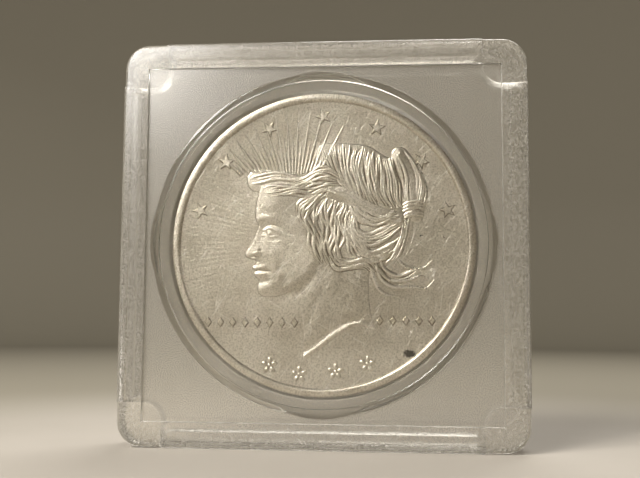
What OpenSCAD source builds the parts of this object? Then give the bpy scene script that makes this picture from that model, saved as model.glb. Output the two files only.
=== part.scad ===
// Clear two-piece snap holder, two inches square, with a large silver coin in it.
// The holder stands on its bottom edge: X is its width, Z its height, and -Y is
// the side that shows the coin's face. The origin is the middle of the bottom edge.
// Each piece is drawn lying flat, with its front up, and stood upright at the end.

/* [Holder] */
// Width and height of the closed holder, over the latch bands
holder_side = 50.8; // [49:0.1:70]
// Depth of the closed holder, from its front border to its back border
holder_depth = 6.4; // [5.2:0.1:9]
// Radius of the outside corners
corner_r = 3.2; // [1:0.1:5]
// Width of the raised border around each face
border_w = 3.2; // [1.5:0.1:4.5]
// Height of the raised border above the square field inside it
border_raise = 0.45; // [0.1:0.05:0.6]

/* [Latches] */
// Distance from the corner of the holder to the end of a latch
latch_inset = 5.6; // [5.2:0.1:12]
// Thickness of a latch skirt
latch_t = 0.65; // [0.6:0.05:0.9]
// How far the latch bands stand out of the corners' outline
latch_proud = 0.13; // [0.05:0.01:0.3]
// Gap between a latch and the tongue that it slides over
latch_fit = 0.15; // [0.12:0.01:0.3]
// Thickness of the tongue behind a latch
tongue_t = 1.2; // [0.8:0.05:1.6]
// How much shorter than a latch the tongue is at each end
tongue_short = 0.3; // [0.1:0.05:1]
// Height of the snap bead on the inside of a latch
bead_h = 0.1; // [0.05:0.01:0.11]
// Radius of the snap bead
bead_r = 0.3; // [0.15:0.05:0.3]
// Distance from a latch's tip to the middle of its bead
bead_rise = 0.45; // [0.4:0.05:0.6]
// Thickness of the back cover's flange, which the latch tips close on
flange_t = 0.75; // [0.5:0.05:0.9]
// Radius of the inside corner of a corner post
post_r = 2.5; // [1:0.1:2.6]
// Seam that stays open between the two closed covers
seam_gap = 0.05; // [0.02:0.01:0.1]

/* [Coin seat] */
// Radial clearance between the coin and the ring it lies in
coin_fit = 0.3; // [0.1:0.05:0.6]
// Clearance between each face of the coin and the window over it
window_gap = 0.15; // [0.05:0.05:0.4]
// Thickness of the seat ring
ring_t = 1.55; // [0.8:0.05:1.7]
// How far the four lobes stand out of the ring
lobe_rise = 0.7; // [0.3:0.05:0.8]
// Half of the angle that a lobe covers
lobe_half_angle = 16; // [10:1:22]

/* [Coin] */
// Diameter of the coin
coin_d = 38.1; // [20:0.1:38.5]
// Thickness of the coin over its rims
coin_t = 2.4; // [1.2:0.1:3]
// Width of the raised rim
rim_w = 0.85; // [0.4:0.05:2]
// Height of the rim above the field
rim_h = 0.25; // [0.1:0.05:0.4]
// Width of the slope from the rim down to the field
rim_slope = 0.2; // [0.05:0.05:0.4]
// Chamfer on the coin's two outer edges
edge_break = 0.1; // [0.05:0.05:0.3]

/* [Hidden] */
$fn = 144;

// how far a cutter runs past the face that it cuts through
over = 1;
// how far a wall is rooted in the plate that it stands on
root = 0.3;
sides = [0, 90, 180, 270];

half_depth = holder_depth / 2;
coin_space = coin_t / 2 + window_gap;
field_side = holder_side - 2 * border_w;
corner_side = holder_side - 2 * latch_proud;

latch_half = holder_side / 2 - latch_inset;
latch_tip = -half_depth + flange_t + seam_gap;
latch_in = holder_side / 2 - latch_t;
tongue_out = latch_in - latch_fit;
post_in = latch_half + latch_fit;
wall_top = coin_space - seam_gap;

ring_in = coin_d / 2 + coin_fit;
ring_out = ring_in + ring_t;
// A lobe is a smaller circle that comes out of the ring at its two ends.
lobe_top = ring_out + lobe_rise;
lobe_x = (lobe_top * lobe_top - ring_out * ring_out)
       / (2 * (lobe_top - ring_out * cos(lobe_half_angle)));
lobe_r = lobe_top - lobe_x;

// Stands a piece that was drawn flat, front up, on the holder's bottom edge.
module stood_up() {
  translate([0, 0, holder_side / 2]) rotate([90, 0, 0]) children();
}

// A layer of a flat drawing between two heights.
module layer(low, high) {
  translate([0, 0, low]) linear_extrude(high - low) children();
}

module rounded_square(side, r) {
  square([side, side - 2 * r], center = true);
  square([side - 2 * r, side], center = true);
  for (x = [-1, 1], y = [-1, 1])
    translate([x * (side / 2 - r), y * (side / 2 - r)]) circle(r);
}

// The holder's outline, with a straight band standing out on each side.
module outline() {
  rounded_square(corner_side, corner_r - latch_proud);
  square([holder_side, 2 * latch_half], center = true);
  square([2 * latch_half, holder_side], center = true);
}

// One cover's plate, with its square field sunk between the borders.
module face_plate() {
  difference() {
    layer(coin_space, half_depth) outline();
    layer(half_depth - border_raise, half_depth + over) square(field_side, center = true);
  }
}

// A strip with square ends along the right side, from x_in outwards.
module side_strip(x_in, width, half_length) {
  translate([x_in, -half_length]) square([width, 2 * half_length]);
}

// The bead along the inside of the right latch, or with grow the groove around it.
module snap_bead(grow = 0) {
  translate([latch_in + bead_r - bead_h, 0, latch_tip + bead_rise])
    rotate([90, 0, 0])
      cylinder(r = bead_r + grow, h = 2 * (latch_half - latch_t + grow), center = true);
}

// The skirt that snaps over the right side of the back cover, with its bead.
module latch() {
  layer(latch_tip, coin_space + root) side_strip(latch_in, latch_t, latch_half);
  snap_bead();
}

// The room for the right latch, cut from the back cover, with the bead's groove.
module latch_room() {
  layer(-half_depth + flange_t, half_depth) side_strip(tongue_out, latch_t + over, post_in);
  snap_bead(latch_fit);
}

// The tongue that the right latch closes over: a bar with round ends.
module tongue() {
  r = tongue_t / 2;
  half_length = latch_half - tongue_short;
  side_strip(tongue_out - tongue_t, tongue_t, half_length - r);
  for (y = [-1, 1])
    translate([tongue_out - r, y * (half_length - r)]) circle(r);
}

// The solid posts that fill the four corners between the latches.
module corner_posts() {
  span = holder_side;
  intersection() {
    rounded_square(corner_side, corner_r - latch_proud);
    for (x = [-1, 1], y = [-1, 1])
      translate([x * (post_in + span / 2), y * (post_in + span / 2)])
        rounded_square(span, post_r);
  }
}

module seat_ring() {
  difference() {
    union() {
      circle(ring_out);
      for (a = sides)
        rotate(a) translate([lobe_x, 0]) circle(lobe_r);
    }
    circle(ring_in);
  }
}

module front_cover() {
  color([0.86, 0.87, 0.85, 0.45])
    stood_up() {
      face_plate();
      for (a = sides)
        rotate(a) latch();
    }
}

module back_cover() {
  color([0.78, 0.79, 0.77, 0.6])
    stood_up()
      difference() {
        union() {
          mirror([0, 0, 1]) face_plate();
          layer(-coin_space - root, wall_top) {
            seat_ring();
            corner_posts();
            for (a = sides)
              rotate(a) tongue();
          }
        }
        for (a = sides)
          rotate(a) latch_room();
      }
}

module coin() {
  r = coin_d / 2;
  t = coin_t / 2;
  color("silver")
    stood_up()
      rotate_extrude()
        polygon([
          [0, -t + rim_h],
          [r - rim_w - rim_slope, -t + rim_h],
          [r - rim_w, -t],
          [r - edge_break, -t],
          [r, -t + edge_break],
          [r, t - edge_break],
          [r - edge_break, t],
          [r - rim_w, t],
          [r - rim_w - rim_slope, t - rim_h],
          [0, t - rim_h]
        ]);
}

back_cover();
coin();
front_cover();
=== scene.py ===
# %% [markdown]
# # A clear snap holder with a silver coin in it
#
# This lesson dresses a small assembly that stands on its bottom edge: two clear
# plastic covers that snap together, and a large struck coin between them. The packed
# frame gives the bodies, their places and their sizes. Every piece is drawn lying
# flat in millimetres, because that is how a mould maker and an engraver draw it, and
# is stood up and turned into metres at the very end.

# %% Load the frame
import math
import random

import bmesh
import bpy
import numpy as np
from mathutils import Matrix, Vector


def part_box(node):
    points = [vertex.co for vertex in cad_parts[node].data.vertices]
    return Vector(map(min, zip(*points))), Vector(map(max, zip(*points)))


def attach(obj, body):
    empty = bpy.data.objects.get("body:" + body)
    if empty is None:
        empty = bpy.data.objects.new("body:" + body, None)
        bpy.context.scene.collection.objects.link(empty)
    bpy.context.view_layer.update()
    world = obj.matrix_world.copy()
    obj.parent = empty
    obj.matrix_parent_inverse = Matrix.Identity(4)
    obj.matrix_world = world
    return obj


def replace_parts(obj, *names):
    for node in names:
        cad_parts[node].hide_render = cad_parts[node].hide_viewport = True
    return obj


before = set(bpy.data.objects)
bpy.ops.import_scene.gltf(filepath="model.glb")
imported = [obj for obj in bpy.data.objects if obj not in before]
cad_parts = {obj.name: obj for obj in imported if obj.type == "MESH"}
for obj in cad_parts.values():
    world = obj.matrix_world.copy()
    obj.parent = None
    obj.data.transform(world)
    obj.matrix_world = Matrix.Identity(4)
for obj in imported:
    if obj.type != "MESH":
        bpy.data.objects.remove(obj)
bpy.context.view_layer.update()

# %% [markdown]
# ## Sizes
#
# The overall sizes come from the frame's boxes. The frame's Y runs from the front of
# the holder to its back, so a height in the flat drawing is minus the frame's Y. The
# small sizes of mouldings, such as a border or a tongue, are written once here.

# %% Take the driving sizes from the frame
MM = 0.001
front_low, front_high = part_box("front_cover")
back_low, back_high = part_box("back_cover")
coin_low, coin_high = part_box("coin")

side = (front_high.x - front_low.x) / MM
half_side = side / 2
half_depth = (back_high.y - front_low.y) / 2 / MM
latch_tip = -front_high.y / MM
wall_top = -back_low.y / MM
coin_r = (coin_high.x - coin_low.x) / 2 / MM
coin_half = (coin_high.y - coin_low.y) / 2 / MM

window_gap, coin_fit, ring_t, lobe_rise = 0.15, 0.3, 1.55, 0.7
inner = coin_half + window_gap
border_w, border_raise = 3.2, 0.45
corner_r, band_rise = 3.07, 0.13
corner_half = half_side - band_rise
latch_inset, latch_t, latch_fit = 5.6, 0.65, 0.15
latch_half = half_side - latch_inset
tongue_t, tongue_short = 1.2, 0.3
tongue_half = latch_half - tongue_short
bead_r, bead_h, bead_rise = 0.3, 0.1, 0.45
flange_t, root, post_r = 0.75, 0.3, 2.5
ring_in = coin_r + coin_fit
ring_out = ring_in + ring_t
# A lobe is a smaller circle that comes out of the ring 16 degrees either side of it.
lobe_top, lobe_angle = ring_out + lobe_rise, math.radians(16)
lobe_x = (lobe_top ** 2 - ring_out ** 2) / (2 * (lobe_top - ring_out * math.cos(lobe_angle)))
lobe_r = lobe_top - lobe_x
window_r = ring_out + 0.4
# Points this near count as one, and a joined block stays this far behind a face.
close = 0.01
print(f"holder {side:.1f} mm square and {2 * half_depth:.1f} mm deep, coin {2 * coin_r:.1f} mm")

# %% [markdown]
# ## Shader expressions
#
# A finish is easier to read as a sum than as a heap of nodes. `Wire` wraps a socket,
# so that an expression on wires adds its Math nodes, and `Finish.node` makes any
# other node from its type, its settings and the values or wires of its sockets.

# %% Wrap sockets so that Python maths builds nodes
def operator(name, flip=False):
    """The method that builds a Math node for one of Python's operators."""
    def build(self, other):
        return self.finish.maths(name, *((other, self) if flip else (self, other)))
    return build


class Wire:
    """One output socket of a finish, which Python's operators can be used on."""

    def __init__(self, finish, socket):
        self.finish, self.socket = finish, socket

    __add__ = __radd__ = operator("ADD")
    __mul__ = __rmul__ = operator("MULTIPLY")
    __sub__, __rsub__ = operator("SUBTRACT"), operator("SUBTRACT", flip=True)
    __truediv__, __pow__ = operator("DIVIDE"), operator("POWER")

    def __abs__(self):
        return self.finish.maths("ABSOLUTE", self)

    def step(self, low, high):
        """0 below low and 1 above high, with a soft rise between them."""
        settings = {"interpolation_type": "SMOOTHSTEP"}
        values = {"Value": self, "From Min": low, "From Max": high}
        return self.finish.node("ShaderNodeMapRange", settings, values)


# %% Build finishes from wires
class Finish:
    """A material whose Principled shader is wired by expressions."""

    def __init__(self, name, **constants):
        self.material = bpy.data.materials.new(name)
        self.material.use_nodes = True
        self.tree = self.material.node_tree
        self.shader = self.tree.nodes["Principled BSDF"]
        self.set(**constants)

    def node(self, kind, settings=None, values=None, out=0):
        made = self.tree.nodes.new(kind)
        for key, value in (settings or {}).items():
            setattr(made, key, value)
        for key, value in (values or {}).items():
            self.plug(made.inputs[key], value)
        return Wire(self, made.outputs[out])

    def maths(self, operation, *values):
        return self.node("ShaderNodeMath", {"operation": operation}, dict(enumerate(values)))

    def plug(self, socket, value):
        if isinstance(value, Wire):
            self.tree.links.new(value.socket, socket)
        else:
            socket.default_value = value

    def set(self, **sockets):
        for key, value in sockets.items():
            self.plug(self.shader.inputs[key.replace("_", " ")], value)

    def cover(self, factor, second):
        """Lays a second shader over the first where factor is 1."""
        values = {0: factor, 1: Wire(self, self.shader.outputs[0]), 2: second}
        mixed = self.node("ShaderNodeMixShader", None, values)
        self.plug(self.tree.nodes["Material Output"].inputs["Surface"], mixed)

    def mix(self, factor, a, b):
        """Colour a where factor is 0 and b where it is 1."""
        values = {0: factor, 6: a, 7: b}
        return self.node("ShaderNodeMix", {"data_type": "RGBA"}, values, out=2)

    def place(self):
        """Object coordinates, in metres, as one vector and as three wires."""
        where = self.node("ShaderNodeTexCoord", out="Object")
        parts = self.node("ShaderNodeSeparateXYZ", values={0: where})
        return where, [Wire(self, socket) for socket in parts.socket.node.outputs]

    def noise(self, where, scale, detail=2.0, roughness=0.5):
        values = {"Vector": where, "Scale": scale, "Detail": detail, "Roughness": roughness}
        return self.node("ShaderNodeTexNoise", values=values)

    def bump(self, height, distance):
        return self.node("ShaderNodeBump", values={"Height": height, "Distance": distance})


# %% [markdown]
# ## Clear polystyrene
#
# The covers are one clear plastic with two surfaces. The mould is polished over the
# coin, so the window is as clear as glass, and it is spark-eroded to a fine grain on
# the border and the square field, which hides scratches. A mask that grows with the
# distance from the window's centre turns the gloss into the grain. The back cover's
# polish is plain and round and ends at the coin's rim: its dull seat shows through the
# front as a pale ring round the coin.

# %% Make the clear plastic
def clear_plastic(name, tint, haze, clear_r=None):
    """Polished inside clear_r with a dull seat round it, or else inside the lobed window."""
    finish = Finish(name, Base_Color=tint, Transmission_Weight=1.0, IOR=1.56)
    where, (x, y, z) = finish.place()
    x, up = abs(x), abs(z - half_side * MM)
    radius = (x ** 2 + up ** 2) ** 0.5
    off_window = radius - (clear_r or window_r) * MM
    if not clear_r:
        long, short = finish.maths("MAXIMUM", x, up), finish.maths("MINIMUM", x, up)
        lobe = ((long - lobe_x * MM) ** 2 + short ** 2) ** 0.5 - lobe_r * MM
        off_window = finish.maths("MINIMUM", off_window, lobe)
    off_window = off_window.step(-0.02 * MM, 0.08 * MM)
    field = half_depth - border_raise
    outer_face = abs(y).step((field - 0.1) * MM, (field - 0.04) * MM)
    if clear_r:
        seat = 3 - 3 * (radius - (ring_out + 0.1) * MM).step(0.0, 0.1 * MM)
        outer_face = finish.maths("MAXIMUM", outer_face, seat)
    grained = off_window * outer_face
    grain = finish.noise(where, 8000.0, 1.0, 0.5)
    scuffs = finish.noise(where, 160.0, 5.0, 0.65).step(0.45, 0.75)
    relief = finish.bump(grain * grained, 0.00001)
    roughness = 0.02 + 0.03 * scuffs + (0.22 if clear_r else 0.06) * off_window + 0.12 * grained
    finish.set(Roughness=roughness, Normal=relief)
    pits = grain.step(0.38, 0.62)
    speck = finish.mix(pits, (0.44, 0.415, 0.365, 1), (0.84, 0.80, 0.725, 1))
    frost = finish.node("ShaderNodeBsdfPrincipled", None, {
        "Base Color": speck, "Roughness": 0.36, "IOR": 1.56,
        "Transmission Weight": 0.4, "Normal": relief,
    })
    finish.cover(grained * haze * (0.6 + 0.8 * pits), frost)
    return finish.material


front_plastic = clear_plastic("clear_front", (0.96, 0.945, 0.91, 1), 0.25)
back_plastic = clear_plastic("clear_back", (0.94, 0.925, 0.885, 1), 0.22, coin_r)

# %% [markdown]
# ## Helpers for flat drawings
#
# Each helper starts from a shape that `bmesh` makes and works it with operators. A
# block gets its round corners by bevelling its upright edges, a round piece is one
# outline spun about the axis, and `stand` is the last step of every piece: from
# millimetres lying flat to metres standing up.

# %% Draw, round off, spin and stand up
def block(x0, x1, y0, y1, z0, z1, corner=0.0, steps=10):
    """A box between two corners, with its four upright edges rounded."""
    bm = bmesh.new()
    size = Matrix.Diagonal((x1 - x0, y1 - y0, z1 - z0, 1))
    middle = Matrix.Translation(((x0 + x1) / 2, (y0 + y1) / 2, (z0 + z1) / 2))
    bmesh.ops.create_cube(bm, size=1, matrix=middle @ size)
    if corner:
        upright = [e for e in bm.edges if abs(e.verts[0].co.z - e.verts[1].co.z) > 1e-6]
        round_off(bm, upright, corner, steps)
    return bm


def round_off(bm, edges, radius, steps):
    bmesh.ops.bevel(
        bm, geom=edges, offset=radius, offset_type="OFFSET", affect="EDGES",
        segments=steps, profile=0.5, material=-1, clamp_overlap=True,
    )


def sharp_edges(bm, keep):
    """The sharp convex edges whose middle's height keep() says yes to."""
    bm.normal_update()
    sharp = [
        e for e in bm.edges
        if len(e.link_faces) == 2 and e.calc_face_angle_signed() > math.radians(60)
    ]
    return [e for e in sharp if keep((e.verts[0].co.z + e.verts[1].co.z) / 2)]


def spun(outline, steps, closed=False):
    """The shape that an outline of radii and heights makes round the upright axis."""
    bm = bmesh.new()
    verts = [bm.verts.new((r, 0, z)) for r, z in outline]
    for a, b in zip(verts, verts[1:] + (verts[:1] if closed else [])):
        bm.edges.new((a, b))
    bmesh.ops.spin(
        bm, geom=bm.verts[:] + bm.edges[:], cent=(0, 0, 0), axis=(0, 0, 1),
        angle=math.tau, steps=steps, use_merge=True,
    )
    bmesh.ops.remove_doubles(bm, verts=bm.verts, dist=1e-4)
    bmesh.ops.recalc_face_normals(bm, faces=bm.faces)
    return bm


def stand(bm):
    """From a flat drawing in millimetres to the holder's own frame in metres."""
    up = Matrix.Translation((0, 0, half_side * MM))
    turn = Matrix.Rotation(math.radians(90), 4, "X")
    bmesh.ops.transform(bm, matrix=up @ turn @ Matrix.Scale(MM, 4), verts=bm.verts)


# %% Turn a drawing into a finished piece
def show(name, data):
    made = bpy.data.objects.new(name, data)
    bpy.context.scene.collection.objects.link(made)
    return made


def as_object(bm, name):
    mesh = bpy.data.meshes.new(name)
    bm.to_mesh(mesh)
    bm.free()
    return show(name, mesh)


def finish_piece(bm, name, body, material, smooth_angle):
    stand(bm)
    piece = as_object(bm, name)
    piece.data.materials.append(material)
    piece.data.shade_smooth()
    piece.data.set_sharp_from_angle(angle=math.radians(smooth_angle))
    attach(piece, body)
    print(f"{name}: {len(piece.data.vertices)} vertices, {len(piece.data.polygons)} faces")
    return piece


def fuse(bm, tool, operation="UNION"):
    """Joins tool to bm, or cuts it away, and gives the result as a new drawing."""
    base, other = as_object(bm, "base"), as_object(tool, "tool")
    joint = base.modifiers.new("joint", "BOOLEAN")
    joint.operation, joint.solver, joint.object = operation, "EXACT", other
    result = bmesh.new()
    result.from_object(base, bpy.context.evaluated_depsgraph_get())
    for used in (base, other):
        mesh = used.data
        bpy.data.objects.remove(used)
        bpy.data.meshes.remove(mesh)
    bmesh.ops.remove_doubles(result, verts=result.verts, dist=1e-4)
    return result


# %% [markdown]
# ## A cover's plate
#
# Both covers have the same face: a rounded square with a softly rounded outer edge, a
# raised border and a sunk square field. The straight bands that stand out of each
# side are made by cutting extra edge loops across the plate and moving the rim
# between them outwards, which keeps the rounded edge whole. A low lobed band stands
# round the window, like the seat ring behind it.

# %% Spin a ring with four lobes
def lobed_ring(r_in, r_out, low, high, rounding):
    """A flat ring with its outer wall moved out to the four lobes."""
    bm = spun([(r_in, low), (r_out, low), (r_out, high), (r_in, high)], 240, closed=True)
    for v in bm.verts:
        r = v.co.xy.length
        turn = (math.atan2(v.co.y, v.co.x) + math.pi / 4) % (math.pi / 2) - math.pi / 4
        across = lobe_x * math.cos(turn)
        spare = across ** 2 - lobe_x ** 2 + lobe_r ** 2
        if r > r_out - close and spare > 0 and across + math.sqrt(spare) > r:
            v.co.xy *= (across + math.sqrt(spare)) / r
    round_off(bm, sharp_edges(bm, lambda z: z > high - close), rounding, 5)
    return bm


# %% Make the plate
edge_round, lip_round, small_round = 0.42, 0.09, 0.12
band_end = 0.25
field_draft = 0.06


def plate():
    """The plate with its field sunk, its inner face down and its border up."""
    edges = (-corner_half, corner_half)
    bm = block(*edges, *edges, inner, half_depth, corner_r, 14)
    round_off(bm, sharp_edges(bm, lambda z: z > half_depth - close), edge_round, 7)
    field = half_side - border_w
    for axis in ((1, 0, 0), (0, 1, 0)):
        for at in (field, latch_half, latch_half + band_end):
            for point in (Vector(axis) * -at, Vector(axis) * at):
                everything = bm.verts[:] + bm.edges[:] + bm.faces[:]
                bmesh.ops.bisect_plane(bm, geom=everything, plane_co=point, plane_no=axis)
    for v in bm.verts:
        for across, along in ((0, 1), (1, 0)):
            on_rim = abs(v.co[across]) > corner_half - edge_round - 2 * close
            if on_rim and abs(v.co[along]) < latch_half + close:
                v.co[across] += math.copysign(band_rise, v.co[across])
    sunk = [
        f for f in bm.faces
        if f.calc_center_median().z > half_depth - close
        and all(max(abs(v.co.x), abs(v.co.y)) < field + close for v in f.verts)
    ]
    pressed = bmesh.ops.extrude_face_region(bm, geom=sunk)["geom"]
    bmesh.ops.delete(bm, geom=sunk, context="FACES")
    moved = [g for g in pressed if isinstance(g, bmesh.types.BMVert)]
    draft = (field - field_draft) / field
    bmesh.ops.scale(bm, vec=(draft, draft, 1), verts=moved)
    bmesh.ops.translate(bm, vec=(0, 0, -border_raise), verts=moved)
    lip = [e for e in bm.edges if len(e.link_faces) == 2 and on_square(e, field)]
    round_off(bm, lip, lip_round, 3)
    bmesh.ops.dissolve_limit(bm, angle_limit=math.radians(0.5), verts=bm.verts, edges=bm.edges)
    floor = half_depth - border_raise
    return fuse(bm, lobed_ring(window_r - 0.9, window_r, floor - 0.2, floor + 0.24, 0.17))


def on_square(edge, half):
    """True for an edge of the border's inner lip, which is a square of that half side."""
    a, b = (v.co for v in edge.verts)
    reach = max(abs(a.x), abs(a.y), abs(b.x), abs(b.y))
    if min(a.z, b.z) < half_depth - close or reach > half + close:
        return False
    return any(abs(abs(a[i]) - half) < close and abs(a[i] - b[i]) < close for i in (0, 1))


# %% [markdown]
# ## The front cover
#
# The front cover adds four thin skirts, one behind each band, which slide over the
# back cover's tongues and click under a small bead. Each is a block joined to the
# plate, so the cover stays one closed solid, as clear plastic has to be: a face
# inside it would show as a crack.

# %% Make the front cover
def quarters():
    """A quarter turn for each of the holder's four sides."""
    return [Matrix.Rotation(math.radians(90 * k), 4, "Z") for k in range(4)]


def snap_bead(grow=0.0):
    """The bead along the inside of a latch, or with grow the groove around it."""
    bm = bmesh.new()
    r = bead_r + grow
    bmesh.ops.create_cone(
        bm, cap_ends=True, segments=24, radius1=r, radius2=r,
        depth=2 * (latch_half - latch_t + grow), matrix=Matrix.Rotation(math.radians(90), 4, "X"),
    )
    middle = (half_side - latch_t + bead_r - bead_h, 0, latch_tip + bead_rise)
    bmesh.ops.translate(bm, vec=middle, verts=bm.verts)
    return bm


def front_cover():
    bm = plate()
    x_in, x_out = half_side - latch_t, half_side - close
    for turn in quarters():
        skirt = block(x_in, x_out, -latch_half, latch_half, latch_tip, inner + root)
        round_off(skirt, sharp_edges(skirt, lambda z: z < latch_tip + close), small_round, 3)
        skirt = fuse(skirt, snap_bead())
        bmesh.ops.transform(skirt, matrix=turn, verts=skirt.verts)
        bm = fuse(bm, skirt)
    return bm


cover = finish_piece(
    front_cover(), "front_shell", "front", front_plastic, 35)
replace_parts(cover, "front_cover")

# %% [markdown]
# ## The back cover
#
# The back cover is the same plate turned round, with everything that holds the coin:
# a seat ring with four lobes, a solid post in each corner and a tongue with round
# ends behind each latch. Whatever stands on the plate is rooted a little way into
# it, so that joining the two leaves no thin gap.

# %% Make the back cover
def corner_post():
    near, far = latch_half + latch_fit, corner_half - close
    bm = block(near, far, near, far, -inner - root, wall_top)
    for corner, radius in ((far, corner_r), (near, post_r)):
        upright = [
            e for e in bm.edges
            if abs(e.verts[0].co.z - e.verts[1].co.z) > 1
            and all(abs(v.co.x - corner) + abs(v.co.y - corner) < close for v in e.verts)
        ]
        round_off(bm, upright, radius, 12)
    round_off(bm, sharp_edges(bm, lambda z: z > wall_top - close), small_round, 3)
    return bm


def tongue():
    x_out, r = half_side - latch_t - latch_fit - close, tongue_t / 2 - close
    x_in = x_out - tongue_t
    bm = block(x_in, x_out, -tongue_half, tongue_half, -inner - root, wall_top, r, 8)
    round_off(bm, sharp_edges(bm, lambda z: z > wall_top - close), small_round, 3)
    return bm


def back_cover():
    bm = plate()
    bmesh.ops.rotate(bm, matrix=Matrix.Rotation(math.pi, 3, "Y"), verts=bm.verts)
    room_x, room_y = half_side - latch_t - latch_fit, latch_half + latch_fit
    bm = fuse(bm, lobed_ring(ring_in, ring_out, -inner - root, wall_top, 0.2))
    for turn in quarters():
        room = block(room_x, half_side + 1, -room_y, room_y, -half_depth + flange_t, half_depth)
        room = fuse(room, snap_bead(latch_fit))
        parts = ((room, "DIFFERENCE"), (corner_post(), "UNION"), (tongue(), "UNION"))
        for part, operation in parts:
            bmesh.ops.transform(part, matrix=turn, verts=part.verts)
            bm = fuse(bm, part, operation)
    return bm


cover = finish_piece(back_cover(), "back_shell", "back", back_plastic, 35)
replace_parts(cover, "back_cover")

# %% [markdown]
# ## Silver
#
# A struck silver coin is a satin metal. Fine flow lines run from the middle to the
# rim and give it its lustre, and the fields carry hairline scratches and a few dark
# spots. Each struck piece stores in an attribute how far a point lies below what is
# round it, and on the rays and ornaments, how far down their sloping sides it lies.
# The low places get dark toning together with painted shade, the sloping sides get
# painted shade, and the crests get a painted highlight together with the brightness
# of wear.

# %% Make the silver
def struck_silver():
    finish = Finish("struck_silver", Metallic=1.0)
    where, (x, y, z) = finish.place()
    up = z - half_side * MM
    radius = (x ** 2 + up ** 2) ** 0.5 + 0.0001
    flow = {0: x / radius * 30, 1: up / radius * 30, 2: radius * 60}
    lustre = finish.noise(finish.node("ShaderNodeCombineXYZ", values=flow), 1.6, 3.0, 0.6)
    grain = finish.noise(where, 4300.0, 3.0, 0.65)
    wear = finish.noise(where, 900.0, 4.0, 0.6)
    scratches = 0
    for angle, length, low in ((-57, 16, 0.68), (-40, 22, 0.69), (28, 20, 0.70), (-82, 14, 0.70)):
        turned = finish.node("ShaderNodeMapping", {"vector_type": "TEXTURE"}, {
            "Vector": where, "Rotation": (0, math.radians(angle), 0), "Scale": (length, length, 1),
        })
        scratches = scratches + finish.noise(turned, 5200.0, 1.0).step(low, low + 0.04)
    toning_and_painted_light = finish.node("ShaderNodeAttribute", {"attribute_name": "toning_and_painted_light"}, out="Fac")
    # The crests: a painted highlight, together with the brightness of wear.
    crest = (0 - toning_and_painted_light).step(0.2, 2.0)
    tone = finish.noise(where, 150.0, 4.0, 0.6)
    colour = finish.mix(tone.step(0.3, 0.75), (0.88, 0.838, 0.76, 1), (0.66, 0.615, 0.53, 1))
    colour = finish.mix((1 - grain.step(0.36, 0.56)) * 0.55, colour, (0.36, 0.325, 0.26, 1))
    colour = finish.mix(scratches * 0.5, colour, (0.97, 0.955, 0.92, 1))
    # Dark toning together with painted shade: the portrait's low places and the sloping sides of
    # the rays, stars, lozenges and leaves.
    colour = finish.mix(toning_and_painted_light.step(0.05, 1.5) * 0.9, colour, (0.17, 0.14, 0.095, 1))
    # Painted highlight on the crests, together with the brightness of wear.
    colour = finish.mix(crest * 0.6, colour, (0.98, 0.96, 0.92, 1))
    portrait_side = 1 - y.step(-0.4 * MM, 0.0)
    for across, height, size in ((10.85, -13.6, 0.75), (12.2, 1.0, 0.15), (15.1, 0.75, 0.1)):
        away = ((x - across * MM) ** 2 + (up - height * MM) ** 2 * 2.4) ** 0.5
        away = away + (grain - 0.5) * 1.4 * MM
        spot = 1 - away.step(size * 0.7 * MM, size * 1.15 * MM)
        colour = finish.mix(spot * portrait_side * 0.93, colour, (0.03, 0.028, 0.022, 1))
    finish.set(Base_Color=colour, Roughness=0.24 + 0.08 * tone + 0.08 * grain - 0.04 * crest)
    heights = 1.1 * grain + 0.8 * wear + 0.8 * lustre - 0.12 * scratches
    finish.set(Normal=finish.bump(heights, 0.00003))
    return finish.material


silver = struck_silver()


def strike(bm, name, smooth_angle):
    """Finishes a piece of the coin."""
    return finish_piece(bm, name, "coin", silver, smooth_angle)

# %% [markdown]
# ## The coin's blank
#
# The blank is one cross-section spun round the axis: flat fields, a rim that rises
# at the edge, and an edge that is pressed into reeds by moving every second pair of
# its outermost points inwards.

# %% Make the blank
rim_w, rim_h, rim_slope = 0.85, 0.25, 0.2
field_z = coin_half - rim_h
reeds, reed_depth = 188, 0.09


def blank():
    foot = coin_r - rim_w - rim_slope
    upper = [
        (0, field_z), (foot * 0.6, field_z), (foot - 0.1, field_z), (foot, field_z + 0.015),
        (foot + rim_slope * 0.5, field_z + rim_h * 0.6), (foot + rim_slope, coin_half - 0.03),
        (foot + rim_slope + 0.12, coin_half), (coin_r - 0.18, coin_half),
        (coin_r - 0.06, coin_half - 0.04), (coin_r, coin_half - 0.13),
    ]
    bm = spun(upper + [(r, -z) for r, z in reversed(upper)], 4 * reeds)
    for v in bm.verts:
        turn = math.atan2(v.co.y, v.co.x) / math.tau * reeds
        if v.co.xy.length > coin_r - close and (turn + 0.1) % 1 > 0.5:
            v.co.xy *= 1 - reed_depth / coin_r
    return bm


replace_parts(strike(blank(), "coin_blank", 35), "coin")

# %% [markdown]
# ## Heights over the field
#
# A medallist models a portrait as a low relief: nothing is undercut, so the whole
# head is one height over each point of the field. That is what a grid of heights
# gives. `Relief` holds one, and its methods lay on it what a modelling tool would:
# a pillow inside an outline, a mound or a dent, and a ridge or a groove along a
# line. Hair is laid on strand by strand, each one over the last.

# %% Smooth lines
def curve(points, steps=8, closed=False):
    """A smooth line through given points, with steps points for each span."""
    before, after = (points[-1:], points[:2]) if closed else (points[:1], points[-1:])
    p = np.array([*before, *points, *after], float)
    t = np.linspace(0, 1, steps, endpoint=False)[:, None]
    spans = []
    for a, b, c, d in zip(p, p[1:], p[2:], p[3:]):
        bend, twist = 2 * a - 5 * b + 4 * c - d, 3 * b - 3 * c + d - a
        spans.append(b + ((c - a) * t + bend * t ** 2 + twist * t ** 3) / 2)
    return np.vstack(spans if closed else spans + [p[-1:]])


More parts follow.
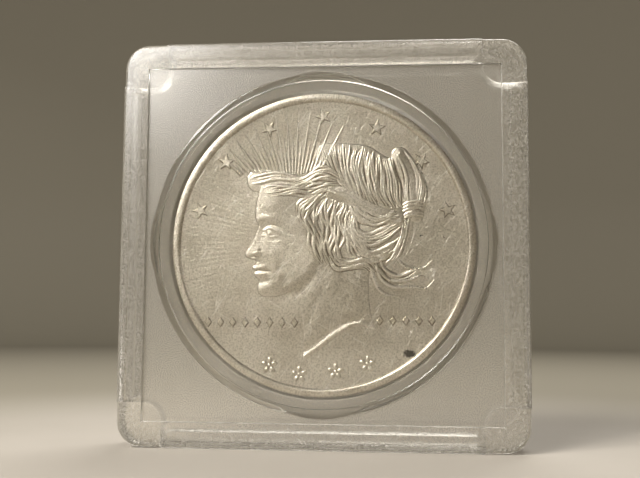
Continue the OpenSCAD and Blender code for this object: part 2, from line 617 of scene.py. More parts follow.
def evenly(line, count):
    """The same line with count points at equal steps along it."""
    run = np.concatenate([[0], np.cumsum(np.hypot(*np.diff(line, axis=0).T))])
    at = np.linspace(0, run[-1], count)
    return np.column_stack([np.interp(at, run, line[:, 0]), np.interp(at, run, line[:, 1])])


# %% A grid of heights
def softened(heights, times):
    """Heights evened out with their neighbours."""
    for _ in range(times):
        wide = np.pad(heights, 1, mode="edge")
        beside = wide[:-2, 1:-1] + wide[2:, 1:-1] + wide[1:-1, :-2] + wide[1:-1, 2:]
        heights = (beside + 4 * heights) / 8
    return heights


class Relief:
    """Heights over the field on a fine grid, in millimetres. It starts just below."""

    def __init__(self, low, high, cell, sunk=-0.12):
        self.xs = np.arange(low[0], high[0] + cell, cell)
        self.ys = np.arange(low[1], high[1] + cell, cell)
        self.z = np.full((len(self.ys), len(self.xs)), sunk)
        self.away, self.place = self.z.copy(), self.z.copy()

    def window(self, low, high):
        """The rows and columns between two corners, and their coordinates."""
        i = slice(*np.searchsorted(self.xs, (low[0], high[0])))
        j = slice(*np.searchsorted(self.ys, (low[1], high[1])))
        return (j, i), *np.meshgrid(self.xs[i], self.ys[j])

    def along(self, line, reach):
        """Distance to a line, and place along it from 0 to 1, for the points near it."""
        part = self.window(line.min(0) - reach, line.max(0) + reach)[0]
        self.away[part], self.place[part] = reach, 0
        for k, (a, b) in enumerate(zip(line, line[1:])):
            near, x, y = self.window(np.minimum(a, b) - reach, np.maximum(a, b) + reach)
            run = b - a
            t = np.clip(((x - a[0]) * run[0] + (y - a[1]) * run[1]) / max(run @ run, 1e-12), 0, 1)
            d = np.hypot(x - a[0] - t * run[0], y - a[1] - t * run[1])
            closer = d < self.away[near]
            self.away[near] = np.where(closer, d, self.away[near])
            self.place[near] = np.where(closer, (k + t) / (len(line) - 1), self.place[near])
        return part, self.away[part], self.place[part]

    def inside(self, outline):
        """True for the points within a closed outline."""
        part, x, y = self.window(outline.min(0), outline.max(0))
        odd = np.zeros(x.shape, bool)
        for a, b in zip(outline, np.roll(outline, -1, axis=0)):
            if a[1] != b[1]:
                level = (y >= min(a[1], b[1])) & (y < max(a[1], b[1]))
                odd ^= level & (x < a[0] + (y - a[1]) / (b[1] - a[1]) * (b[0] - a[0]))
        found = np.zeros(self.z.shape, bool)
        found[part] = odd
        return found

    def depth(self, outline, reach):
        """Distance in from an outline: positive inside it and negative outside."""
        part, away, _ = self.along(np.vstack([outline, outline[:1]]), reach)
        within = self.inside(outline)
        found = np.where(within, reach, -reach).astype(float)
        found[part] = np.where(within[part], away, -away)
        return found

    def pillow(self, outline, edge, dome, width, slope=1.2, base=0.0):
        """A crowned pad: a steep edge, then a soft dome that is full at that width."""
        d = self.depth(outline, width)
        over = np.clip(d, 0, None)
        rise = edge * (1 - np.exp(-over * slope / edge)) + dome * np.sin(np.pi / 2 * over / width)
        self.z = np.maximum(self.z, base + np.where(d > 0, rise, d * slope))

    def mound(self, x, y, long, wide, height, turn=0):
        """A soft swelling, or with a negative height a dent."""
        part, px, py = self.window((x - 3 * long, y - 3 * long), (x + 3 * long, y + 3 * long))
        c, s = math.cos(math.radians(turn)), math.sin(math.radians(turn))
        u, v = (px - x) * c + (py - y) * s, (py - y) * c - (px - x) * s
        self.z[part] += height * np.exp(-((u / long) ** 2) - (v / wide) ** 2)

    def stroke(self, points, width, height, fade=0.25):
        """A soft ridge along a line, or with a negative height a groove."""
        part, away, place = self.along(curve(points), 2.5 * width)
        ends = np.clip(np.minimum(place, 1 - place) / max(fade, 1e-6), 0, 1)
        self.z[part] += height * np.exp(-((away / width) ** 2)) * ends * (2 - ends)

    def strand(self, line, wide, crest, drop, tips, base=None):
        """A strand of hair laid over what is there: a round ridge with thin tips."""
        part, away, place = self.along(line, wide * 1.4)
        near = np.clip(place / tips[0], 0, 1) * np.clip((1 - place) / tips[1], 0, 1)
        width = wide * (0.25 + 0.75 * near)
        high = crest * (0.45 + 0.55 * near ** 0.5) - drop * (away / width) ** 2
        over = np.maximum(self.z[part], high if base is None else base[part] + high)
        self.z[part] = np.where(away < wide * 1.39, over, self.z[part])


# %% [markdown]
# ## The bust
#
# The head looks left. Its face is a plain classical one, drawn on the usual thirds:
# hairline to brow, brow to the base of the nose, and nose to chin are each about
# 4.4 mm high. The neck is a lower pad that the jaw stands over, and it ends in a
# curved cut with a raised lip.

# %% Lay the face and neck
head = Relief((-11.2, -15.8), (14.4, 13.2), 0.053)

neck_front = [(-4.4, -4), (-3.9, -6.2), (-3, -7.4), (-2.55, -8.9), (-2.35, -11), (-2.4, -14.7)]
neck_cut = [(-2.4, -14.7), (-0.6, -13.5), (1.4, -11.9), (3.4, -10.7), (5, -10.3), (6.8, -10.8)]
neck_back = [(6.8, -10.8), (6.2, -9), (5.9, -7), (5.8, -5), (5.4, -2), (0, 0)]
neck = np.vstack([curve(neck_front), curve(neck_cut), curve(neck_back)])
head.pillow(neck, 0.055, 0.03, 2.6)
head.stroke([(1.6, -3.4), (0.6, -6.4), (-0.6, -9.6), (-1.6, -12.6)], 0.75, 0.03)
head.stroke([(4.6, -4), (4.3, -7), (4.6, -9.6)], 0.9, 0.018)
head.stroke([(-0.6, -6.4), (-1.5, -9.4), (-1.9, -11.6)], 0.45, -0.016)

profile = [
    (-7.5, 7.6), (-8.2, 5.9), (-8.5, 4.3), (-8.45, 3.1), (-8.1, 2.2), (-8.45, 1.1), (-9, -0.2),
    (-9.65, -1.2), (-9.6, -1.7), (-8.9, -2), (-8.35, -2.15), (-8.45, -2.65), (-8.8, -3),
    (-8.65, -3.3), (-8.2, -3.45), (-8.55, -3.75), (-8.45, -4.15), (-7.95, -4.6), (-8.05, -5.2),
    (-8.15, -5.75), (-7.85, -6.35), (-7.1, -6.7), (-5.6, -6.6), (-3.9, -5.9), (-2, -4.6),
    (-0.6, -2.8), (0.4, 0), (0, 4), (-2, 7.4), (-5, 8.4),
]
head.pillow(curve(profile, closed=True), 0.055, 0.115, 3.2, base=0.055)
head.z = softened(head.z, 3)
print("bust pads laid, highest", round(head.z.max(), 3), "mm")

# %% Model the features of the face
features = [
    # brow, forehead and temple
    ("stroke", [(-8.2, 2.95), (-7.3, 3.3), (-6, 3.2), (-4.9, 2.6)], 0.38, 0.03),
    ("mound", -6.4, 5.2, 1.6, 1.5, 0.012),
    ("mound", -4.5, 4.2, 1.2, 1, -0.02),
    # the socket, and the eye set back in it
    ("mound", -7.45, 1.55, 0.6, 0.5, -0.05),
    ("mound", -6.6, 2.25, 0.9, 0.4, -0.03),
    ("mound", -6.7, 1.3, 0.5, 0.38, 0.05),
    ("stroke", [(-7.35, 1.5), (-7.1, 1.82), (-6.4, 1.86), (-5.7, 1.5), (-5.1, 1)],
     0.13, 0.055, 0.15),
    ("stroke", [(-7.2, 2.2), (-6.5, 2.36), (-5.7, 2.05), (-5, 1.5)], 0.12, -0.022),
    ("stroke", [(-7, 0.88), (-6.5, 0.78), (-5.8, 0.88), (-5.2, 1.05)], 0.1, 0.022),
    ("stroke", [(-6.9, 0.5), (-6.2, 0.38), (-5.4, 0.7)], 0.16, -0.014),
    ("mound", -7.05, 1.32, 0.27, 0.12, -0.04, 90),
    # the side of the nose, its wing and the nostril
    ("stroke", [(-7.75, 1), (-7.75, 0), (-7.5, -1)], 0.5, -0.028),
    ("mound", -8.2, -1.4, 0.52, 0.4, 0.045),
    ("stroke", [(-8.05, -0.75), (-7.6, -1.15), (-7.75, -1.85)], 0.17, -0.04),
    ("stroke", [(-9, -1.72), (-8.6, -1.62), (-8.25, -1.8)], 0.13, -0.06),
    # lips, the corner of the mouth and the chin
    ("mound", -7.85, -3.08, 0.7, 0.24, 0.035, 8),
    ("mound", -7.8, -3.88, 0.62, 0.27, 0.042, -6),
    ("stroke", [(-8.5, -3.42), (-7.7, -3.42), (-6.8, -3.55)], 0.12, -0.06),
    ("mound", -6.65, -3.58, 0.28, 0.28, -0.035),
    ("stroke", [(-7.5, -1.95), (-7, -2.6), (-6.6, -3.2)], 0.28, -0.016),
    ("stroke", [(-8.1, -4.72), (-7.4, -4.85), (-6.7, -4.6)], 0.32, -0.03),
    ("mound", -7.2, -5.7, 0.9, 0.8, 0.032),
    # cheek and jaw
    ("mound", -5.2, -0.5, 1.9, 1.4, 0.045, -30),
    ("mound", -5, -3.2, 1.5, 1, -0.022, 30),
    ("stroke", [(-6.4, -6), (-4.2, -5.3), (-2.4, -4), (-1.2, -2)], 0.6, 0.022),
    ("stroke", [(-4.6, -7), (-2.9, -6.1), (-1.2, -4.6), (0, -3)], 0.55, -0.03),
]
pads = head.z.copy()
for kind, *shape in features:
    getattr(head, kind)(*shape)
head.z = softened(pads + 0.95 * (head.z - pads), 2)
print(len(features), "touches on the face")

# %% Raise a lip along the end of the neck
head.stroke([(x - 0.15, y + 0.35) for x, y in neck_cut], 0.3, 0.06, 0.06)
head.stroke([(x - 0.4, y + 0.95) for x, y in neck_cut], 0.35, -0.02, 0.06)

# %% [markdown]
# ## The hair
#
# The hair is combed back from the forehead under a ribbon, falls in waves over the
# ear, and is wound into a long knot behind, with loose ends blowing out at the nape.
# Each lock is given by its two edges, and the strands are spread between them. A
# seed per lock makes the waves and the lengths uneven in the same way on each run.

# %% Lay the pad that the strands lie on
hair_outline = curve([
    (-9.55, 7.5), (-9.5, 8.7), (-8.4, 9.5), (-6.5, 9.4), (-4.5, 9.05), (-2.7, 8.5), (-1.2, 9.4),
    (-0.9, 11.2), (-0.4, 12.5), (1.6, 12.7), (3.6, 12.6), (5.6, 12.3), (7.2, 11.4), (8.3, 10.8),
    (9.4, 11), (10.6, 9), (11, 5), (10.6, 1.4), (9.9, -1.2), (8.6, -2.3), (6.6, -3.6), (5.2, -3.1),
    (3.5, -3.4), (2, -3.5), (0.9, -3.6), (-0.2, -3), (-1.1, -1.4), (-2, 0.5), (-2.2, 1.9),
    (-3.3, 3.8), (-4.2, 5.3), (-5.4, 5.8), (-6.9, 5.9), (-7.9, 6.4), (-9, 6.7),
], closed=True)
head.pillow(hair_outline, 0.07, 0.05, 1.6)
head.z = softened(head.z, 1)
hair_base = head.z.copy()
knot_outline = curve([
    (8.55, 11.1), (8.95, 11.9), (9.9, 12.1), (10.8, 11.4), (11.8, 9.7), (12.7, 7.6), (12.95, 6),
    (12.7, 4.2), (12.3, 2.8), (11.3, 2.7), (10.3, 3.6), (9.8, 5.2), (9.75, 7.6), (9, 9.4),
], closed=True)
head.pillow(knot_outline, 0.07, 0.09, 1.5)


# %% Spread strands over the locks
def lock(base, left, right, count, crest, seed, wave, turns, fill=0.72):
    """Lays count strands on a base, side by side between a lock's two edge lines."""
    dice = random.Random(seed)
    steps = 33
    a, b = evenly(curve(left), steps + 1), evenly(curve(right), steps + 1)
    spacing = np.hypot(*(b - a).T).mean() / count
    along = np.linspace(0, 1, steps + 1)[:, None]
    order = list(range(count))
    dice.shuffle(order)
    for k in order:
        v = (k + 0.5) / count
        start, stop = dice.uniform(0, 0.12), 1 - dice.uniform(0, 0.16)
        phase = dice.uniform(-0.5, 0.5) + v * 0.8
        swing = np.sin((along * turns + phase) * math.tau) * np.sin(along * math.pi) ** 0.5
        aside = dice.uniform(-0.2, 0.2) / count + wave * swing / (count * spacing)
        line = (a + (b - a) * (v + aside))[int(start * steps):int(stop * steps) + 1]
        height = crest * (0.72 + 0.28 * math.sin(math.pi * v) ** 0.7) + dice.uniform(-0.016, 0.016)
        wide = spacing * fill * dice.uniform(0.8, 1.15)
        head.strand(line, wide, height, 0.05, (0.2, 0.25), base)


locks = [
    # crown, from the parting down to the ribbon and back to the knot
    ([(-0.6, 12.3), (0.2, 10.6), (1.2, 9), (2.2, 7.4), (3.4, 6.2)],
     [(3.6, 12.5), (3.4, 10.8), (3.5, 8.8), (3.9, 7.2), (4.6, 5.5)], 11, 0.06, 1, 0.06, 1.2),
    ([(3.2, 12.5), (3.1, 10.4), (3.4, 8.6), (4, 6.9), (4.4, 5.5)],
     [(5.8, 12.1), (5.3, 10), (5.3, 8), (5.9, 6.2), (6.8, 4.4)], 8, 0.09, 2, 0.16, 1.6),
    ([(5.4, 12.2), (5.2, 10.2), (5.4, 8.2), (5.9, 6.4), (6.8, 4.5)],
     [(7.6, 11.1), (7.4, 9.4), (7.5, 7.4), (8, 5.6), (9.2, 3.8)], 8, 0.11, 3, 0.14, 1.5),
    ([(7, 11.4), (7.3, 9.4), (7.5, 7.4), (8, 5.6), (9, 4)],
     [(8.8, 10.9), (9.2, 9.2), (9.7, 7.4), (9.9, 5.6), (10.4, 4.2)], 7, 0.1, 4, 0.1, 1.3),
    # roll over the forehead, then the waves below it
    ([(-1.6, 8.7), (-3.4, 9), (-5.4, 9.5), (-7.6, 9.5), (-9.2, 8.9)],
     [(-2.2, 7.9), (-4.2, 7.9), (-6, 7.9), (-7.6, 7.5), (-9.2, 7.4)], 6, 0.08, 5, 0.04, 1),
    ([(2.4, 8.6), (0.8, 9.6), (-0.8, 9.6), (-2.4, 8.4), (-4.4, 7.8)],
     [(2.4, 7.6), (0.6, 8), (-0.8, 7.8), (-2.4, 7.2), (-4.4, 7)], 6, 0.1, 6, 0.1, 1.6),
    ([(2.6, 7.6), (0.8, 7.7), (-1.2, 7.7), (-3.4, 7.3), (-5.6, 7.4), (-7.8, 7)],
     [(1.6, 6.8), (0.2, 6.5), (-1.6, 5.8), (-3.4, 6.1), (-5.2, 5.9), (-7.2, 6.1)],
     7, 0.11, 7, 0.16, 2.3),
    # temple and side, in waves down over the ear
    ([(-0.4, 6.6), (-2, 5.9), (-3.2, 4.9), (-3.4, 3.9)],
     [(0.6, 6.2), (-0.8, 5), (-1.8, 3.6), (-2, 2.2)], 6, 0.09, 8, 0.1, 1.4),
    ([(-2.2, 4.8), (-2.9, 3.4), (-2.1, 1.4), (-1.6, -0.6), (-0.4, -2.8)],
     [(0.4, 5.4), (-0.2, 3.2), (0.2, 0.8), (0.2, -1.2), (1, -3.2)], 8, 0.08, 9, 0.26, 1.9),
    ([(0.2, 5.8), (0, 3.4), (0.5, 1), (0.4, -1.2), (1.2, -3.2)],
     [(2.8, 5), (2, 3), (2.6, 0.8), (2.4, -1.2), (3.2, -3.2)], 8, 0.11, 10, 0.3, 2),
    ([(2.6, 5), (2.2, 3), (2.8, 0.8), (3.4, -1), (4.6, -2.4)],
     [(4.6, 4), (4.2, 2.4), (4.8, 0.6), (5.8, -0.8), (7.4, -2.2)], 8, 0.1, 11, 0.26, 1.8),
    # garlands behind the ear, towards the knot
    ([(3, 5.2), (3.6, 3.8), (4.6, 2.6), (6, 2)],
     [(4.6, 4.8), (5, 4), (5.8, 3.4), (7, 3)], 5, 0.1, 17, 0.1, 1.2),
    ([(2.6, 3.4), (3.2, 1.4), (4.2, -0.2), (5.6, -1.2)],
     [(4, 3.6), (4.4, 2.2), (5.2, 1), (6.4, 0.2)], 6, 0.11, 19, 0.14, 1.4),
    ([(3.8, 4), (4.2, 2.2), (5.6, 1.5), (7.6, 2), (10.2, 3.2)],
     [(3.6, 2.4), (4.4, 0.4), (6, -0.2), (8, 0.4), (10, 2)], 7, 0.1, 12, 0.14, 1.5),
    ([(4, 0.6), (5, -0.6), (6.6, -0.8), (8.4, -0.2), (9.8, 1)],
     [(3.8, -1.4), (5.2, -2.2), (6.8, -2.4), (8.2, -1.8), (9.6, -0.4)], 6, 0.09, 13, 0.12, 1.4),
    ([(5.2, 4.4), (6.4, 3.6), (7.8, 3.6), (9.6, 4.4)],
     [(4.8, 2.8), (6.2, 2.2), (7.8, 2.6), (9.8, 3.6)], 5, 0.11, 14, 0.08, 1.2),
    # tail under the knot, curling in to the nape
    ([(9.7, 3.4), (9.8, 1.6), (9.4, 0), (8.6, -1.6), (7.6, -2.4)],
     [(11.1, 3.4), (11, 1.4), (10.6, -0.4), (9.6, -1.9), (8.4, -2.9)], 6, 0.11, 15, 0.08, 1.2),
    ([(10.9, 3.4), (10.9, 1.4), (10.5, -0.4), (9.5, -2), (8.4, -2.9)],
     [(12.4, 3.2), (12.2, 1.2), (11.6, -0.6), (10.5, -2.1), (9, -3)], 5, 0.13, 18, 0.08, 1.2),
    # nape
    ([(1.2, -0.6), (2.2, -1.8), (3.8, -2), (5.4, -1.8), (7.2, -3.2)],
     [(0.6, -1.6), (1.6, -3.2), (3.4, -3.3), (5.2, -3.2), (6.5, -4.4)], 6, 0.11, 16, 0.1, 1.4),
]
for shape in locks:
    lock(hair_base, *shape)
print(len(locks), "locks,", sum(shape[2] for shape in locks), "strands")

# %% Wind the knot, tie the ribbon and loosen the ends
bare = np.zeros_like(head.z)
knot_locks = [
    ([(8.8, 11.2), (9.3, 9.8), (9.9, 8.2), (10.1, 6.2), (10.3, 4.2)],
     [(9.9, 11.9), (10.6, 10), (11, 8.2), (11.2, 6.2), (11.4, 4)], 6, 0.195, 21),
    ([(9.7, 11.9), (11, 10.4), (11.6, 8.4), (11.4, 6.2), (11, 4.2)],
     [(10.6, 11.5), (11.9, 9.6), (12.8, 7.4), (12.8, 5.4), (12.2, 3.4)], 6, 0.185, 22),
]
for shape in knot_locks:
    lock(bare, *shape, 0.1, 1.2, fill=0.8)
head.mound(9.6, 11.1, 0.9, 0.75, 0.03)
for k, y in enumerate((5.0, 4.55, 4.2, 3.6, 3.3)):
    wrap = [(9.9, y - 0.3), (10.8, y + 0.15), (11.8, y + 0.3), (12.6, y + 0.1)]
    head.strand(curve(wrap), 0.2 + 0.05 * (k % 2), 0.2, 0.05, (0.3, 0.3))
ribbon = curve([(0.5, 6.9), (3, 5.9), (5.6, 4.4), (8.2, 3.2), (10.2, 2.8)])
head.strand(ribbon, 0.62, 0.195, 0.03, (0.05, 0.05))
head.strand(ribbon + (0.1, 0.17), 0.14, 0.215, 0.05, (0.05, 0.05))
head.strand(ribbon - (0.12, 0.2), 0.14, 0.215, 0.05, (0.05, 0.05))
loose = [
    [(7, -1.2), (7.8, -3.2), (9.6, -4), (11.2, -3.4), (12.6, -3), (13.6, -2.1)],
    [(6.6, -2.4), (7.4, -4.4), (9, -5.4), (11.3, -5.4), (12.9, -5.5), (13.9, -4.5)],
    [(6, -2.8), (6.9, -5.4), (8.2, -6.4), (9.9, -6.5)],
    [(7, -3), (8.4, -4.5), (10.4, -4.6), (12.2, -4), (13, -4.3)],
    [(6.4, -1.8), (7.4, -3.8), (8.8, -4.6), (10.4, -4.3), (11.8, -3.4)],
    [(9.4, -2), (10.4, -2.9), (11.6, -3.1), (12.6, -3.7)],
]
for k, points in enumerate(loose):
    head.strand(curve(points), 0.26 - 0.015 * k, 0.15, 0.12, (0.05, 0.5))
print("highest", round(head.z.max(), 3), "mm")

# %% [markdown]
# ## From heights to closed sheets
#
# A grid with one point for each height becomes a solid by dropping a wall from its
# rim and closing the bottom, below the field. The head is cut in two where the hair
# meets the skin, because each piece has to stay light enough to be kept whole.

# %% Turn a part of the grid into a solid
def drop_walls(bm, bottom):
    """Closes an open sheet with a wall down to a flat bottom."""
    rim = [e for e in bm.edges if e.is_boundary]
    made = bmesh.ops.extrude_edge_only(bm, edges=rim)["geom"]
    low = [g for g in made if isinstance(g, bmesh.types.BMVert)]
    for v in low:
        v.co.z = bottom
    foot = [g for g in made if isinstance(g, bmesh.types.BMEdge) and g.is_boundary]
    bmesh.ops.triangle_fill(bm, edges=foot, normal=(0, 0, -1))
    bmesh.ops.recalc_face_normals(bm, faces=bm.faces)


def relief_sheet(relief, cells):
    """The solid under the heights of some of the grid's cells."""
    # Cells that touch only at a corner get the two beside them, so no point is pinched.
    while True:
        a, b, c, d = cells[:-1, :-1], cells[1:, 1:], cells[1:, :-1], cells[:-1, 1:]
        touching = (a & b & ~c & ~d) | (c & d & ~a & ~b)
        if not touching.any():
            break
        for corner in (a, b, c, d):
            corner |= touching
    rows, columns = (np.unique(at) for at in cells.nonzero())
    j0, i0, high, wide = rows[0], columns[0], np.ptp(rows) + 1, np.ptp(columns) + 1
    bm = bmesh.new()
    bmesh.ops.create_grid(bm, x_segments=wide, y_segments=high, size=1)
    toning_and_painted_light = bm.verts.layers.float.new("toning_and_painted_light")
    around = softened(relief.z, 24)
    for k, v in enumerate(bm.verts):
        j, i = j0 + k // (wide + 1), i0 + k % (wide + 1)
        v.co = (relief.xs[i], relief.ys[j], field_z + relief.z[j, i])
        # How far the point lies below its softened surroundings: toning together with painted
        # shade in the low places, and a painted highlight together with wear on the crests.
        v[toning_and_painted_light] = (around[j, i] - relief.z[j, i]) / 0.02
    kept = cells[j0:j0 + high, i0:i0 + wide].ravel()
    spare = [f for f, keep in zip(bm.faces, kept) if not keep]
    bmesh.ops.delete(bm, geom=spare, context="FACES")
    drop_walls(bm, field_z - 0.16)
    return bm


# %% Cast the head
above = head.z > -0.06
cells = above[:-1, :-1] | above[1:, :-1] | above[:-1, 1:] | above[1:, 1:]
# The knot and the loose ends reach past the outline of the pad.
hairy = head.inside(hair_outline) | (head.ys[:, None] > 2.6) & (head.xs > 9)
hairy |= (head.xs > 6.1) & (head.ys[:, None] > -7)
in_hair = hairy[:-1, :-1]
for name, chosen in (("portrait_bust", cells & ~in_hair), ("portrait_hair", cells & in_hair)):
    strike(relief_sheet(head, chosen), name, 60)

# %% [markdown]
# ## Rays and ornaments
#
# What surrounds the head is struck with plain ornaments: rays that rise from the
# hair, seven stars under the rim, rows of lozenges beside the neck and four small
# rosettes below it. A ray is a strip of the grid that is bent along a line and
# arched across it, and the same strip makes the leaves of the other side.

# %% Strips, stars and petals
def add(bm, part):
    """Puts a finished drawing into another one."""
    spare = bpy.data.meshes.new("spare")
    part.to_mesh(spare)
    part.free()
    bm.from_mesh(spare)
    bpy.data.meshes.remove(spare)


def ridge(bm, line, wide, high, swell, steps, rib=0.0, across=6, round_top=2.0):
    """A low arched strip along a line. swell(t) scales its width from start to end."""
    part = bmesh.new()
    bmesh.ops.create_grid(part, x_segments=steps, y_segments=across, size=1)
    toning_and_painted_light = part.verts.layers.float.new("toning_and_painted_light")
    line = evenly(line, steps + 1)
    heading = np.gradient(line, axis=0)
    for v in part.verts:
        k, side = round((v.co.x + 1) / 2 * steps), v.co.y
        normal = np.array([-heading[k][1], heading[k][0]]) / np.hypot(*heading[k])
        full = swell(k / steps)
        arch = (1 - abs(side) ** round_top) * (0.35 + 0.65 * full)
        arch -= rib * max(0, 1 - abs(side) * 3)
        v.co = (*(line[k] + normal * side * wide * max(full, 0.04)), field_z - 0.02 + high * arch)
        # Painted shade down the sides of the strip, and a painted highlight along its middle.
        v[toning_and_painted_light] = 3.4 * abs(side) ** 2 - 1.7
    drop_walls(part, field_z - 0.12)
    add(bm, part)


def gem(bm, x, y, size, points, high, turn, table, waist=0.42):
    """A star or lozenge with sloping sides up to a flat table."""
    part = bmesh.new()
    bmesh.ops.create_circle(part, cap_ends=True, segments=2 * points, radius=size)
    toning_and_painted_light = part.verts.layers.float.new("toning_and_painted_light")
    for v in part.verts:
        if math.floor(math.atan2(v.co.y, v.co.x) / math.tau * 2 * points + 0.01) % 2:
            v.co *= waist
    top = bmesh.ops.extrude_face_region(part, geom=part.faces[:])["geom"]
    raised = [g for g in top if isinstance(g, bmesh.types.BMVert)]
    # Painted shade on the sloping sides down to the foot; the table gets none.
    for v in part.verts:
        v[toning_and_painted_light] = 0.0 if v in raised else 1.8
    bmesh.ops.scale(part, vec=(table, table, 1), verts=raised)
    bmesh.ops.translate(part, vec=(0, 0, high + 0.1), verts=raised)
    bmesh.ops.recalc_face_normals(part, faces=part.faces)
    place = Matrix.Translation((x, y, field_z - 0.1)) @ Matrix.Rotation(math.radians(turn), 4, "Z")
    bmesh.ops.transform(part, matrix=place, verts=part.verts)
    add(bm, part)


def dome(bm, x, y, long, wide, high, turn=0):
    """A low rounded pellet or petal."""
    part = bmesh.new()
    bmesh.ops.create_icosphere(part, subdivisions=3, radius=1)
    place = Matrix.Translation((x, y, field_z)) @ Matrix.Rotation(math.radians(turn), 4, "Z")
    place = place @ Matrix.Diagonal((long, wide, high, 1))
    bmesh.ops.transform(part, matrix=place, verts=part.verts)
    add(bm, part)


def polar(radius, degrees):
    a = math.radians(degrees)
    return np.array([radius * math.cos(a), radius * math.sin(a)])


# %% Strike the rays
def rays():
    """Rays that fan out from a point in the head, long and short by turns."""
    bm = bmesh.new()
    focus = np.array([-3.7, 2.5])
    for k in range(25):
        angle = 137 - 3.08 * k
        way = polar(1, angle)
        foot = 6.3 + 0.05 * max(0, 80 - angle) if angle < 104 else 6.5
        start, end = min(foot / way[1], 9.0), 10.9 + 0.5 * math.sin(k)
        if k % 2 == 0:
            end = 14.4 - 2.2 * max(0, (angle - 100) / 37)
        if end > start + 1:
            line = np.array([focus + way * start, focus + way * end])
            ridge(bm, line, 0.27, 0.19, lambda t: 1 - 0.8 * t ** 1.5, 16, round_top=1.6)
    return bm


strike(rays(), "rays", 60)


# %% Strike the stars, the lozenges and the rosettes
def border_stars():
    bm = bmesh.new()
    for angle in range(165, 0, -25):
        gem(bm, *polar(16.1, angle), 1.35, 5, 0.18, angle, 0.62)
    return bm


def field_lozenges():
    bm = bmesh.new()
    for start, stop, count, y in ((-14.3, -3.4, 8, -9.9), (7.2, 13.6, 5, -9.55)):
        for x in np.linspace(start, stop, count):
            gem(bm, x, y, 0.85, 2, 0.18, 90, 0.5, waist=0.68)
    return bm


def rosettes():
    bm = bmesh.new()
    for x, y in ((-6.5, -15.2), (-2.75, -16.3), (1.75, -15.9), (5.7, -14.9)):
        dome(bm, x, y, 0.3, 0.3, 0.17)
        for turn in range(0, 360, 72):
            dome(bm, *((x, y) + polar(0.62, turn + 90)), 0.42, 0.3, 0.13, turn + 90)
    return bm


strike(border_stars(), "border_stars", 20)
strike(field_lozenges(), "field_lozenges", 20)
strike(rosettes(), "rosettes", 20)

# %% [markdown]
# ## The other side
#
# The coin's back carries a plain device: a rising sun of rays round a star, inside a
# laurel wreath that is tied at the bottom. It is drawn on the front and turned over
# about the upright axis, so that both sides stand the same way up.

# %% Strike the other side
def turn_over(bm):
    bmesh.ops.rotate(bm, matrix=Matrix.Rotation(math.pi, 3, "Y"), verts=bm.verts)
    return bm


def wreath():
    bm = bmesh.new()
    for side in (-1, 1):
        stem = np.array([polar(13.4 - 0.012 * k, -90 + side * 3.2 * k) for k in range(2, 49)])
        ridge(bm, stem, 0.2, 0.12, lambda t: 1 - 0.7 * t, 40)
        for k in range(16):
            at = -90 + side * (15 + 8.8 * k)
            for lean, grow in ((30, 1.0), (-30, 0.92)):
                foot, angle = polar(13.3, at), at + side * (90 + lean)
                way, bow = polar(1, angle), polar(0.35, angle - side * math.copysign(90, lean))
                leaf = curve([foot, foot + way * 1.5 * grow + bow, foot + way * 3.0 * grow])
                swell = lambda t: math.sin(math.pi * t) ** 0.7
                ridge(bm, leaf, 0.78, 0.2, swell, 12, rib=0.05, across=8)
            dome(bm, *polar(15.6, at + side * 6), 0.3, 0.3, 0.16)
    for side in (-1, 1):
        loop = [(0, -13.4), (1.6, -12.4), (2.3, -13.3), (1.2, -13.9), (0, -13.5)]
        end = [(0, -13.5), (0.8, -14.9), (2.2, -16)]
        ridge(bm, curve(loop) * (side, 1), 0.26, 0.16, lambda t: 1, 24)
        ridge(bm, curve(end) * (side, 1), 0.3, 0.14, lambda t: 1 - 0.4 * t, 12)
    dome(bm, 0, -13.45, 0.5, 0.42, 0.2)
    return turn_over(bm)


def sunburst():
    bm = bmesh.new()
    for k in range(32):
        angle, reach = k * 360 / 32, 7.6 if k % 2 else 9.6
        line = np.array([polar(3.5, angle), polar(reach, angle)])
        ridge(bm, line, 0.34, 0.16, lambda t: (1 - 0.7 * t) * min(1, (1 - t) * 6) ** 0.5, 14)
    gem(bm, 0, 0, 3.2, 5, 0.24, 90, 0.12)
    return turn_over(bm)


strike(wreath(), "wreath", 40)
strike(sunburst(), "sunburst", 40)

# %% [markdown]
# ## Floor and backdrop
#
# The holder stands in the middle of a wide, shallow bowl: a floor that sweeps up
# into a wall on all sides, so that every view has the same backdrop. The floor is pale
# just round the holder and darkens with painted shade to grey-brown from 3 to 11 cm
# out, and the wall is the same grey-brown. The bowl is one cross-section, bent with a
# quarter circle and spun round.

# %% Make the sweep
def sweep_finish():
    finish = Finish("sweep", Roughness=0.75)
    where, (x, y, z) = finish.place()
    paper = finish.noise(where, 60.0, 3.0)
    pale = finish.mix(paper, (0.41, 0.375, 0.325, 1), (0.445, 0.41, 0.36, 1))
    away = (x ** 2 + y ** 2) ** 0.5
    # Painted shade: pale under the holder, grey-brown from 11 cm out on the floor and the wall.
    finish.set(Base_Color=finish.mix(away.step(0.03, 0.11), pale, (0.27, 0.245, 0.19, 1)))
    return finish.material


def sweep(floor_r=0.42, bend=0.1, top=0.75):
    quarter = np.linspace(0, math.pi / 2, 24)[1:]
    arc = [(floor_r + bend * math.sin(a), bend - bend * math.cos(a)) for a in quarter]
    made = as_object(spun([(0, 0), (floor_r, 0), *arc, (floor_r + bend, top)], 96), "sweep")
    made.data.materials.append(sweep_finish())
    made.data.shade_smooth()
    return made


sweep()

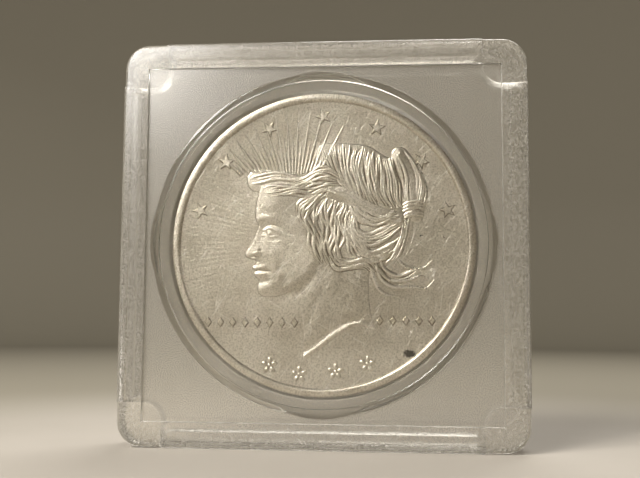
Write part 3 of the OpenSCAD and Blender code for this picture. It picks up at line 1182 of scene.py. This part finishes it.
# %% [markdown]
# ## Light and camera
#
# A soft key light from the upper left models the relief, and a second one near it
# glows in the grain of the plastic. A light high behind the holder shines through its
# edges and lights its back, a weak fill keeps the right side readable, and a dim world
# gives the clear plastic something to mirror. The camera looks at the coin's face from
# a little to the right and a little below its axis.

# %% Set the lights
centre = Vector((0, 0, half_side * MM))


def direction(azimuth, elevation):
    """The way out from the holder at two angles. Azimuth 0 is straight in front of it."""
    a, e = math.radians(azimuth), math.radians(elevation)
    return Vector((math.sin(a) * math.cos(e), -math.cos(a) * math.cos(e), math.sin(e)))


for name, azimuth, elevation, distance, size, watts, colour in (
    ("key", -43, 39, 0.40, 0.15, 1.9, (1.0, 0.955, 0.89)),
    ("glow", -26, 24, 0.42, 0.12, 0.95, (1.0, 0.98, 0.955)),
    ("back", 165, 58, 0.34, 0.2, 0.8, (1.0, 0.97, 0.93)),
    ("fill", 75, 25, 0.40, 0.2, 0.2, (1.0, 0.98, 0.95)),
):
    light = bpy.data.lights.new(name, "AREA")
    light.size, light.energy, light.color = size, watts, colour
    made, way = show(name, light), direction(azimuth, elevation)
    made.location = centre + way * distance
    made.rotation_euler = way.to_track_quat("Z", "Y").to_euler()
    print(f"{name} light: {watts} W, {size} m square, {distance} m away")

bpy.context.scene.view_settings.view_transform = "Standard"
world = bpy.data.worlds.new("studio")
world.use_nodes = True
background = world.node_tree.nodes["Background"].inputs
background["Color"].default_value = (0.95, 0.92, 0.86, 1)
background["Strength"].default_value = 0.05
bpy.context.scene.world = world

# %% Set the camera
distance, aim, roll = 113.4 * MM, Vector((-0.14, 0, 0.40)) * MM, math.radians(0.425)
face = centre - Vector((0, half_depth, 0)) * MM
camera = show("camera", bpy.data.cameras.new("camera"))
camera.location = face + direction(5.08, -4.78) * distance
looking = (face + aim - camera.location).to_track_quat("-Z", "Y")
camera.rotation_euler = (looking.to_matrix() @ Matrix.Rotation(roll, 3, "Z")).to_euler()
camera.data.lens, camera.data.sensor_width = 51.75, 36.0
camera.data.clip_start, camera.data.clip_end = 0.005, 10.0
bpy.context.scene.camera = camera
print(f"camera {distance / MM:.0f} mm from the face, lens {camera.data.lens} mm")
